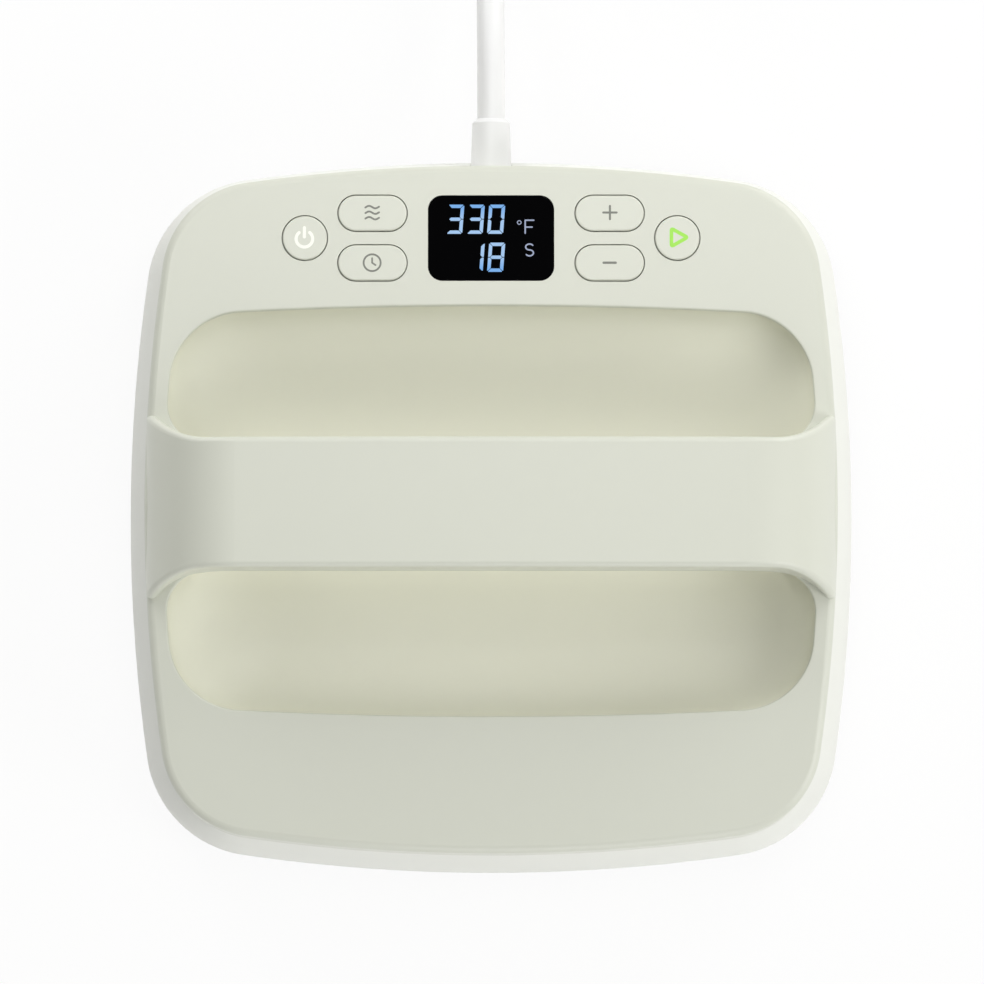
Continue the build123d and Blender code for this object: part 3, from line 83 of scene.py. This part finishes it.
def softbox(name, place, aim, size, power):
    """A square lamp that faces a point."""
    lamp = bpy.data.objects.new(name, bpy.data.lights.new(name, "AREA"))
    lamp.data.shape = "SQUARE"
    lamp.data.size = size
    lamp.data.energy = power
    lamp.location = place
    ray = np.array(aim) - np.array(place)
    lamp.rotation_euler = (
        math.atan2(math.hypot(ray[0], ray[1]), -ray[2]),
        0.0,
        math.atan2(-ray[0], ray[1]),
    )
    scene.collection.objects.link(lamp)


press_middle = (0.0, 0.0, 0.05)
deck_middle = (0.0, 0.06, 0.05)
softbox("front_right_softbox", (1.05, -0.5, 0.95), press_middle, size=0.6, power=7.4)
softbox("front_softbox", (0.1, -1.25, 0.6), press_middle, size=0.6, power=5.4)
softbox("back_left_softbox", (-0.7, 1.05, 0.6), press_middle, size=0.6, power=6.2)
softbox("back_right_softbox", (0.8, 1.0, 0.5), press_middle, size=0.6, power=6.4)
softbox("rear_deck_softbox", (0.05, 0.42, 0.62), deck_middle, size=0.4, power=0.84)
softbox("overhead_softbox", (0.0, 0.34, 1.35), press_middle, size=0.5, power=2.3)
pure_white = (1.0, 1.0, 1.0, 1.0)
scene.world = bpy.data.worlds.new("overhead_sky")
scene.world.use_nodes = True
sky_light = scene.world.node_tree.nodes["Background"].inputs
sky_light["Color"].default_value = pure_white
sky_light["Strength"].default_value = 0.24


def bare_material(name):
    """A new material with an empty node tree."""
    made = bpy.data.materials.new(name)
    made.use_nodes = True
    made.node_tree.nodes.clear()
    return made


def mesh_piece(name, points, faces, material):
    """A mesh object of one material, linked to the scene."""
    mesh = bpy.data.meshes.new(name)
    mesh.from_pydata(points.tolist(), [], faces)
    mesh.materials.append(material)
    piece = bpy.data.objects.new(name, mesh)
    scene.collection.objects.link(piece)
    return piece


paper_glow = 0.92
paper = bare_material("white_paper_sweep")
seen = add(paper.node_tree, "ShaderNodeLightPath").outputs
straight = add(paper.node_tree, "ShaderNodeMath",
               {0: seen["Is Camera Ray"], 1: seen["Is Glossy Ray"]}, operation="MAXIMUM")
shown = add(paper.node_tree, "ShaderNodeMath",
            {0: straight.outputs[0], 1: seen["Is Transmission Ray"]}, operation="MAXIMUM")
share = add(paper.node_tree, "ShaderNodeMath", {0: shown.outputs[0], 1: paper_glow}, operation="MULTIPLY")
lit = add(paper.node_tree, "ShaderNodeBsdfDiffuse", {"Color": linear("#f4f4f2")})
glow = add(paper.node_tree, "ShaderNodeEmission", {"Color": pure_white, "Strength": 1.0})
mixed = add(paper.node_tree, "ShaderNodeMixShader",
            {0: share.outputs[0], 1: lit.outputs[0], 2: glow.outputs[0]})
add(paper.node_tree, "ShaderNodeOutputMaterial", {"Surface": mixed.outputs[0]})
sweep_half = 4.0
sweep_drop = 0.0004
sweep_corners = np.array([[-1, -1, 0], [1, -1, 0], [1, 1, 0], [-1, 1, 0]]) * sweep_half
sweep = mesh_piece("white_sweep", sweep_corners - [0, 0, sweep_drop], [[0, 1, 2, 3]], paper)

# The heat plate is a thick aluminium casting with a dark non-stick coat on its working face. The
# heater is pressed into a groove on its back, under a fibre blanket and a sheet steel shield.


def finish(material, *nodes):
    """Gives CAD nodes their material."""
    for name in nodes:
        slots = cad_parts[name].data.materials
        slots.clear()
        slots.append(material)


def surface(name, colour, roughness, metallic=0.0, grain=0.4, tint=0.03, bump=0.02, sheen=0.5):
    """A moulded, cast or drawn surface. Coarse noise of twenty grains darkens the colour by up to tint. Fine
    noise of one grain shifts the roughness up or down by gloss_shift and lifts the surface by up to bump.
    Grain and bump are in millimetres."""
    coarse_grains = 20
    gloss_shift = 0.04
    base = linear(colour)
    dark = tuple(value * (1 - tint) for value in base[:3]) + (1.0,)
    made = bare_material(name)
    tree = made.node_tree
    place = add(tree, "ShaderNodeTexCoord").outputs["Object"]
    coarse = add(tree, "ShaderNodeTexNoise",
                 {"Vector": place, "Scale": 1000.0 / (coarse_grains * grain), "Detail": 3.0})
    fine = add(tree, "ShaderNodeTexNoise",
               {"Vector": place, "Scale": 1000.0 / grain, "Detail": 2.0, "Roughness": 0.6})
    shade = add(tree, "ShaderNodeMix", {"Factor": coarse.outputs["Fac"], "A": base, "B": dark},
                data_type="RGBA")
    gloss = add(tree, "ShaderNodeMapRange",
                {"Value": fine.outputs["Fac"], "To Min": roughness - gloss_shift,
                 "To Max": roughness + gloss_shift})
    lift = add(tree, "ShaderNodeBump",
               {"Height": fine.outputs["Fac"], "Distance": bump / 1000.0, "Strength": 0.6})
    shader = add(tree, "ShaderNodeBsdfPrincipled",
                 {"Base Color": shade.outputs["Result"], "Roughness": gloss.outputs["Result"],
                  "Metallic": metallic, "Normal": lift.outputs["Normal"], "Specular IOR Level": sheen})
    add(tree, "ShaderNodeOutputMaterial", {"Surface": shader.outputs["BSDF"]})
    return made


finish(surface("coated_aluminium", "#3d3e40", 0.42, metallic=0.3, grain=0.5, tint=0.12), "heat_plate")
finish(surface("bare_aluminium", "#b9bbbd", 0.38, metallic=1.0, grain=0.3, tint=0.08),
       "temperature_sensor", "board_capacitor")
finish(surface("drawn_heater_tube", "#7b7873", 0.45, metallic=1.0, grain=0.6, tint=0.2), "heating_element")
finish(surface("ceramic_fibre", "#e2dfd6", 0.95, grain=1.2, tint=0.1, bump=0.2), "insulation_blanket")
finish(surface("zinc_plated_sheet", "#b4b6b8", 0.34, metallic=1.0, grain=0.8, tint=0.1), "heat_shield")
finish(surface("unglazed_ceramic", "#e6dfd0", 0.8, grain=0.5, tint=0.05), "plate_spacers")
finish(surface("zinc_plated_screw", "#9c9ea1", 0.36, metallic=1.0, grain=0.3, tint=0.12),
       "plate_screws", "shield_screws", "sensor_screws", "shell_screws", "well_screws", "handle_screws",
       "board_screws", "power_board_screws", "clamp_screws")
finish(surface("phenolic_black", "#222224", 0.55, grain=0.4, tint=0.1),
       "thermal_cutout", "key_switches", "buzzer", "display_module", "cord_clamp")

# The base is a white ABS moulding: a skirt that swells low down and draws in to the seam, with a fine
# satin mould texture.
finish(surface("white_abs", "#ebece5", 0.48, grain=0.35, tint=0.015, bump=0.012), "base_housing")

# The cover is a sage ABS moulding, a little glossier than the base: two gently sloping decks and the
# handle arch in one piece.
finish(surface("sage_abs", "#d5d7ca", 0.38, grain=0.35, tint=0.015, bump=0.012), "top_shell")

# The finger well and the handle's underside are separate mouldings in a slightly yellower sage, painted
# lighter than the cover's to stand in for light in the shaded pockets. At each end of the handle a short lip
# of the underside fills the space between its foot and the arch above.
# Painted light: the well's colour is lighter than the cover's so the pockets' shade reads brighter.
lightened_well_plastic = surface("sage_abs_well", "#ebebdb", 0.46, grain=0.35, tint=0.015, bump=0.012)
finish(lightened_well_plastic, "finger_well", "handle_underside")
lip_middle_x, lip_middle_z = 0.09995, 0.0581
lip_half_x, lip_half_y, lip_half_z = 0.00465, 0.0179, 0.0022
lip_corners = 48


def lip(side):
    """A bar along Y with a nearly square section: at the angle q, x = side * (middle + half_x * c(q)) and
    z = middle + half_z * s(q), where c and s are the signed fifth roots of cos q and sin q."""
    angle = side * np.linspace(0, 2 * np.pi, lip_corners, endpoint=False)
    c = np.sign(np.cos(angle)) * np.abs(np.cos(angle)) ** 0.2
    s = np.sign(np.sin(angle)) * np.abs(np.sin(angle)) ** 0.2
    x = side * (lip_middle_x + lip_half_x * c)
    z = lip_middle_z + lip_half_z * s
    return np.stack([np.stack([x, np.full(lip_corners, y), z], axis=1) for y in (lip_half_y, -lip_half_y)])


def carried(forms):
    """Points and faces of closed forms, each an array of sections carried along a line: four-sided faces
    between neighbouring sections, and a face over each end."""
    points, faces, count = [], [], 0
    for form in forms:
        rows, columns = form.shape[:2]
        index = np.arange(rows * columns).reshape(rows, columns) + count
        beside = np.roll(index, -1, axis=1)
        quads = np.stack([index[:-1], beside[:-1], beside[1:], index[1:]], axis=2)
        faces += quads.reshape(-1, 4).tolist()
        faces += [index[0][::-1].tolist(), index[-1].tolist()]
        points.append(form.reshape(-1, 3))
        count += rows * columns
    return np.concatenate(points), faces


lip_piece = mesh_piece("underside_lips", *carried([lip(1), lip(-1)]), lightened_well_plastic)
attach(lip_piece, "press")

# Inside lie two green glass-epoxy boards, with a blue relay and a taped transformer on the power board. A
# grey flat cable joins the boards, and red silicone sleeves cover the wires of heater, sensor and mains.
finish(surface("green_glass_epoxy", "#1f5a3a", 0.4, grain=0.6, tint=0.15), "control_board", "power_board")
finish(surface("relay_case", "#2a5a98", 0.4, grain=0.5, tint=0.06), "power_relay")
finish(surface("taped_winding", "#c3a445", 0.5, grain=0.8, tint=0.1), "board_transformer")
finish(surface("silicone_sleeve", "#a52d26", 0.5, grain=0.5, tint=0.08),
       "heater_leads", "sensor_lead", "mains_leads", "earth_lead")
finish(surface("grey_flat_cable", "#b0b2b4", 0.5, grain=0.8, tint=0.05), "board_ribbon")

# The display is a black polycarbonate lens, flush with the rear deck. The numeric module under it shows
# two rows of light blue bars through the lens, and two small unit signs stand at their right.
finish(surface("black_polycarbonate", "#030304", 0.3, grain=2.0, tint=0.2, bump=0.0, sheen=0.005),
       "display_window")
panel_tilt = math.radians(4.0)
panel_y = 0.0876
deck_height = 0.064
panel_middle = np.array([0.0, panel_y, deck_height - panel_y * math.tan(panel_tilt)])
panel_axes = np.array([
    [1.0, 0.0, 0.0],
    [0.0, math.cos(panel_tilt), -math.sin(panel_tilt)],
    [0.0, math.sin(panel_tilt), math.cos(panel_tilt)],
])
film = 0.03
section = np.linspace(0.0, 2 * np.pi, 12, endpoint=False)
cap_swing = np.radians([86, 70, 52, 34, 16])
bar_gap = 0.12
bar_sections = 4


def stroke(line, width, closed=False):
    """A printed or lit line in panel millimetres, an elliptical section carried along it: the point at s and
    q is line(s) + cos q * half(s) * normal(s), lifted by film * sin q. half(s) follows a half circle at an
    open end."""
    line = np.array(line, dtype=float)
    half = np.full(len(line), width / 2)
    if closed:
        ahead = np.roll(line, -1, axis=0) - np.roll(line, 1, axis=0)
        line, ahead, half = [np.concatenate([part, part[:1]]) for part in (line, ahead, half)]
    else:
        ahead = np.gradient(line, axis=0)
        cap_half = np.cos(cap_swing) * width / 2
        out = (np.sin(cap_swing) * width / 2)[:, None]
        first = ahead[0] / np.linalg.norm(ahead[0])
        last = ahead[-1] / np.linalg.norm(ahead[-1])
        cap_rows = (len(cap_swing), 1)
        line = np.concatenate([line[0] - out * first, line, line[-1] + out[::-1] * last])
        half = np.concatenate([cap_half, half, cap_half[::-1]])
        ahead = np.concatenate([np.tile(first, cap_rows), ahead, np.tile(last, cap_rows)])
    ahead /= np.linalg.norm(ahead, axis=1)[:, None]
    normal = np.stack([-ahead[:, 1], ahead[:, 0]], axis=1)
    flat = line[:, None] + np.cos(section)[None, :, None] * half[:, None, None] * normal[:, None]
    lift = np.broadcast_to(film * np.sin(section), flat.shape[:2])
    return np.concatenate([flat, lift[:, :, None]], axis=2)


def segment(start, end, width, corners):
    """One bar of a numeral, an elliptical section carried from start to end, bar_gap short at each end. The
    ends are mitred: across the bar at v = cos q each end runs on by half * v, at most by half * corner, so
    that the outer side is the longer one. With no corners the ends are pointed, half * |v| short."""
    start, end = np.array(start, dtype=float), np.array(end, dtype=float)
    half = width / 2
    length = np.linalg.norm(end - start)
    along = (end - start) / length
    across = np.array([-along[1], along[0]])
    v = np.cos(section)
    first = half * (np.minimum(v, corners[0]) if corners else -np.abs(v)) - bar_gap
    last = half * (np.minimum(v, corners[1]) if corners else -np.abs(v)) - bar_gap
    s = np.linspace(0, 1, bar_sections)[:, None]
    reach = (length + last) * s - first * (1 - s)
    flat = start + reach[:, :, None] * along + (half * v)[None, :, None] * across
    lift = np.broadcast_to(film * np.sin(section), flat.shape[:2])
    return np.concatenate([flat, lift[:, :, None]], axis=2)


def marks(name, body, place, forms, material):
    """One piece of several carried forms round a place (x, y, lift) on the panel, all in millimetres."""
    points, faces = carried(forms)
    flat = points + np.array(place)
    piece = mesh_piece(name, panel_middle + flat @ panel_axes / 1000.0, faces, material)
    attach(piece, body)


def light(name, colour, far_colour, strength, cover):
    """A window or bar lit from behind. The light turns from colour to far_colour between the distances near
    and far from the panel's middle line. Soft noise of a millimetre shifts its strength up or down by
    uneven, and cover is the unlit colour."""
    near, far = 0.006, 0.010
    uneven = 0.06
    made = bare_material(name)
    tree = made.node_tree
    place = add(tree, "ShaderNodeTexCoord").outputs["Object"]
    cloud = add(tree, "ShaderNodeTexNoise", {"Vector": place, "Scale": 1000.0, "Detail": 2.0})
    axes = add(tree, "ShaderNodeSeparateXYZ", {"Vector": place})
    above = add(tree, "ShaderNodeMath", {0: axes.outputs["Y"], 1: float(panel_middle[1])},
                operation="SUBTRACT")
    away = add(tree, "ShaderNodeMath", {0: above.outputs[0]}, operation="ABSOLUTE")
    turned = add(tree, "ShaderNodeMapRange", {"Value": away.outputs[0], "From Min": near, "From Max": far})
    tone = add(tree, "ShaderNodeMix",
               {"Factor": turned.outputs["Result"], "A": linear(colour), "B": linear(far_colour)},
               data_type="RGBA")
    power = add(tree, "ShaderNodeMapRange",
                {"Value": cloud.outputs["Fac"], "To Min": strength * (1 + uneven),
                 "To Max": strength * (1 - uneven)})
    shader = add(tree, "ShaderNodeBsdfPrincipled",
                 {"Base Color": linear(cover), "Roughness": 0.5, "Emission Color": tone.outputs["Result"],
                  "Emission Strength": power.outputs["Result"], "Specular IOR Level": 0.05})
    add(tree, "ShaderNodeOutputMaterial", {"Surface": shader.outputs["BSDF"]})
    return made


def on_circle(start, end, count, endpoint=True):
    """Points of the unit circle, x = cos a and y = sin a, from one angle to another in degrees."""
    angle = np.radians(np.linspace(start, end, count, endpoint=endpoint))
    return np.stack([np.cos(angle), np.sin(angle)], axis=1)


lens_middle = (0.0, 0.0, 0.0)
unlit_lens = "#05070b"
digit_half = 2.05
digit_tall = 4.235
digit_bar = 1.1
digit_lean = math.tan(math.radians(4.3))
bars = {
    "top": ((-digit_half, digit_tall), (digit_half, digit_tall), (0.5, 0.5)),
    "upper_right": ((digit_half, digit_tall), (digit_half, 0.0), (0.5, 0.0)),
    "lower_right": ((digit_half, 0.0), (digit_half, -digit_tall), (0.0, 0.5)),
    "bottom": ((digit_half, -digit_tall), (-digit_half, -digit_tall), (0.5, 0.5)),
    "lower_left": ((-digit_half, -digit_tall), (-digit_half, 0.0), (0.5, 0.0)),
    "upper_left": ((-digit_half, 0.0), (-digit_half, digit_tall), (0.0, 0.5)),
    "middle": ((-digit_half, 0.0), (digit_half, 0.0), None),
}
nought = ("top", "upper_right", "lower_right", "bottom", "lower_left", "upper_left")
one = ("upper_right", "lower_right")
three = ("top", "upper_right", "middle", "lower_right", "bottom")
eight = tuple(bars)
left_column, middle_column, right_column = -11.6, -4.97, 1.64
upper_row, lower_row = 6.18, -6.29
numerals = [
    (three, left_column, upper_row),
    (three, middle_column, upper_row),
    (nought, right_column, upper_row),
    (one, middle_column, lower_row),
    (eight, right_column, lower_row),
]
digits = []
for lit_bars, middle_x, middle_y in numerals:
    for bar in lit_bars:
        start, end, corners = bars[bar]
        form = segment(start, end, digit_bar, corners)
        form[:, :, 0] += middle_x + form[:, :, 1] * digit_lean
        form[:, :, 1] += middle_y
        digits.append(form)
marks("display_digits", "press", lens_middle, digits,
      light("blue_light_bars", "#a6c8ee", "#7cb0ea", 1.0, unlit_lens))

unit_line = 0.46
degree_line = 0.28
degree_middle = np.array([9.13, 5.11])
degree_radius = 0.6
ring = on_circle(0, 360, 40, endpoint=False)
s_middle = np.array([12.46, -3.9])
s_half = np.array([1.25, 0.97])
s_rise = np.array([0.0, s_half[1]])
letter_s = np.concatenate([
    s_rise + s_half * on_circle(35, 270, 28),
    (s_half * on_circle(90, -145, 28) - s_rise)[1:],
])
units = [
    stroke(degree_middle + degree_radius * ring, degree_line, closed=True),
    stroke([(11.05, 1.6), (11.05, 3.7), (11.05, 5.85)], unit_line),
    stroke([(11.05, 5.85), (12.4, 5.85), (13.82, 5.85)], unit_line),
    stroke([(11.05, 3.6), (12.2, 3.6), (13.3, 3.6)], unit_line),
    stroke(s_middle + letter_s, unit_line),
]
marks("display_units", "press", lens_middle, units,
      light("pale_light_signs", "#a3adc6", "#a3adc6", 1.0, unlit_lens))

# The six keys are sage ABS caps that stand a little proud of the rear deck, each with a narrow gap round
# it. Signs are pad printed in grey; power and start have clear windows lit from behind.
finish(surface("sage_abs_key", "#d7d9cc", 0.38, grain=0.35, tint=0.015, bump=0.012),
       "power_button", "start_button", "temperature_button", "timer_button", "plus_button", "minus_button")
round_key_x = 60.3
pill_key_x = 38.4
pill_key_y = 8.15
key_top = 0.4
print_grey = surface("grey_pad_print", "#83857c", 0.6, grain=0.3, tint=0.1, bump=0.004)

power_line = 1.05
power_middle = np.array([-0.16, -0.33])
power_radius = 2.68
power_sign = [
    stroke(power_middle + power_radius * on_circle(130, 410, 48), power_line),
    stroke([(-0.16, 0.3), (-0.16, 1.8), (-0.16, 3.36)], power_line),
]
marks("power_sign", "power_key", (-round_key_x, 0.0, key_top), power_sign,
      light("white_lit_window", "#f4f5ec", "#f4f5ec", 0.12, "#eeefe6"))

wave_line = 0.62
wave_left, wave_span = -2.3, 4.4
wave_swing = 0.4
wave_cycles, wave_lag = 1.1, 0.05
wave_x = np.linspace(wave_left, wave_left + wave_span, 30)
wave_turn = (wave_x - wave_left) / wave_span * wave_cycles - wave_lag
wave = np.stack([wave_x, wave_swing * np.sin(2 * np.pi * wave_turn)], axis=1)
waves = [stroke(wave + np.array([0.0, height]), wave_line) for height in (1.95, 0.1, -1.7)]
marks("temperature_sign", "temperature_key", (-pill_key_x, pill_key_y, key_top), waves, print_grey)

clock_line = 0.62
clock_hand = 0.58
clock_middle = np.array([-0.1, 0.0])
clock_radius = 2.75
clock = [
    stroke(clock_middle + clock_radius * ring, clock_line, closed=True),
    stroke([(-0.1, 1.48), (-0.1, 0.7), (-0.1, 0.0)], clock_hand),
    stroke([(-0.1, 0.0), (0.44, -0.385), (0.98, -0.77)], clock_hand),
]
marks("timer_sign", "timer_key", (-pill_key_x, -pill_key_y, key_top), clock, print_grey)

plus_line = 0.7
cross = [
    stroke([(-2.05, 0.16), (0.1, 0.16), (2.25, 0.16)], plus_line),
    stroke([(0.1, -1.99), (0.1, 0.16), (0.1, 2.31)], plus_line),
]
marks("plus_sign", "plus_key", (pill_key_x, pill_key_y, key_top), cross, print_grey)
minus_line = 0.8
dash = [stroke([(-1.95, 0.0), (0.0, 0.0), (1.95, 0.0)], minus_line)]
marks("minus_sign", "minus_key", (pill_key_x, -pill_key_y, key_top), dash, print_grey)

start_line = 1.2
corner_cut = 0.75
tips = np.array([(-1.9, 3.06), (-1.9, -2.8), (3.3, 0.16)])
into = np.roll(tips, 1, axis=0) - tips
onto = np.roll(tips, -1, axis=0) - tips
into *= corner_cut / np.linalg.norm(into, axis=1)[:, None]
onto *= corner_cut / np.linalg.norm(onto, axis=1)[:, None]
bend = np.linspace(0, 1, 9)[None, :, None]
rounded = tips[:, None] + into[:, None] * (1 - bend) ** 2 + onto[:, None] * bend**2
start_sign = [stroke(rounded.reshape(-1, 2), start_line, closed=True)]
marks("start_sign", "start_key", (round_key_x, 0.0, key_top), start_sign,
      light("green_lit_window", "#78c436", "#78c436", 0.5, "#97c25e"))

# The lead is a white PVC jacket, nine millimetres thick, that leaves the back through a tapered strain
# relief. Its spare length is wound in two layers and tied, with the plug beside the coil. At the turn t
# the coil's radius is core + pitch * |t|, and round t = 0 it climbs smoothly to the upper layer.
cord_diameter = 0.009
coil_centre = np.array([0.055, 0.262])
coil_core = 0.0375
coil_pitch = 0.0096
coil_turns = 2.5
coil_low = 0.00565
coil_high = coil_low + coil_pitch
coil_left = coil_centre[0] - coil_core - coil_pitch * coil_turns
turn = np.linspace(-coil_turns, coil_turns, 121)
coil_radius = coil_core + coil_pitch * np.abs(turn)
climb = np.clip(2 * turn + 0.5, 0, 1)
coil_points = np.stack([
    coil_centre[0] + coil_radius * np.cos(-2 * np.pi * turn),
    coil_centre[1] + coil_radius * np.sin(-2 * np.pi * turn),
    coil_low + coil_pitch * climb**2 * (3 - 2 * climb),
], axis=1)
lead_points = np.array([
    [0, 0.1294, 0.028],
    [0, 0.16, 0.028],
    [-0.0006, 0.19, 0.012],
    [coil_left, 0.226, coil_low],
    [coil_left, 0.253, coil_low],
])
plug_x = -0.1073
tail_points = np.array([
    [coil_left, 0.271, coil_high],
    [coil_left, 0.298, coil_high],
    [coil_left - 0.0135, 0.3214, 0.0115],
    [coil_left - 0.0369, 0.3349, 0.0075],
    [coil_left - 0.0639, 0.3349, 0.0056],
    [coil_left - 0.0873, 0.3214, 0.0075],
    [plug_x, 0.298, 0.012],
    [plug_x, 0.271, 0.012],
])
route = np.concatenate([lead_points, coil_points, tail_points])
cord_line = bpy.data.curves.new("mains_lead", "CURVE")
cord_line.dimensions = "3D"
cord_line.bevel_depth = cord_diameter / 2
cord_line.bevel_resolution = 6
cord_line.resolution_u = 6
cord_line.use_fill_caps = True
spline = cord_line.splines.new("NURBS")
spline.points.add(len(route) - 1)
spline.points.foreach_set("co", np.concatenate([route, np.ones((len(route), 1))], axis=1).ravel())
spline.order_u = 3
spline.use_endpoint_u = True
cord_piece = bpy.data.objects.new("mains_lead", cord_line)
scene.collection.objects.link(cord_piece)
jacket = surface("white_pvc_jacket", "#ececeb", 0.4, grain=0.6, tint=0.02, bump=0.01)
cord_line.materials.append(jacket)
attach(cord_piece, "press")
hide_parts("power_cord", "cord_coil", "cord_tail")
finish(jacket, "strain_relief", "inner_cord", "plug_body")
finish(surface("nickel_plated_brass", "#cfc7ae", 0.25, metallic=1.0, grain=0.4, tint=0.08), "plug_blades")
finish(surface("woven_tie", "#e9e9e4", 0.9, grain=0.8, tint=0.12, bump=0.15), "cord_tie")
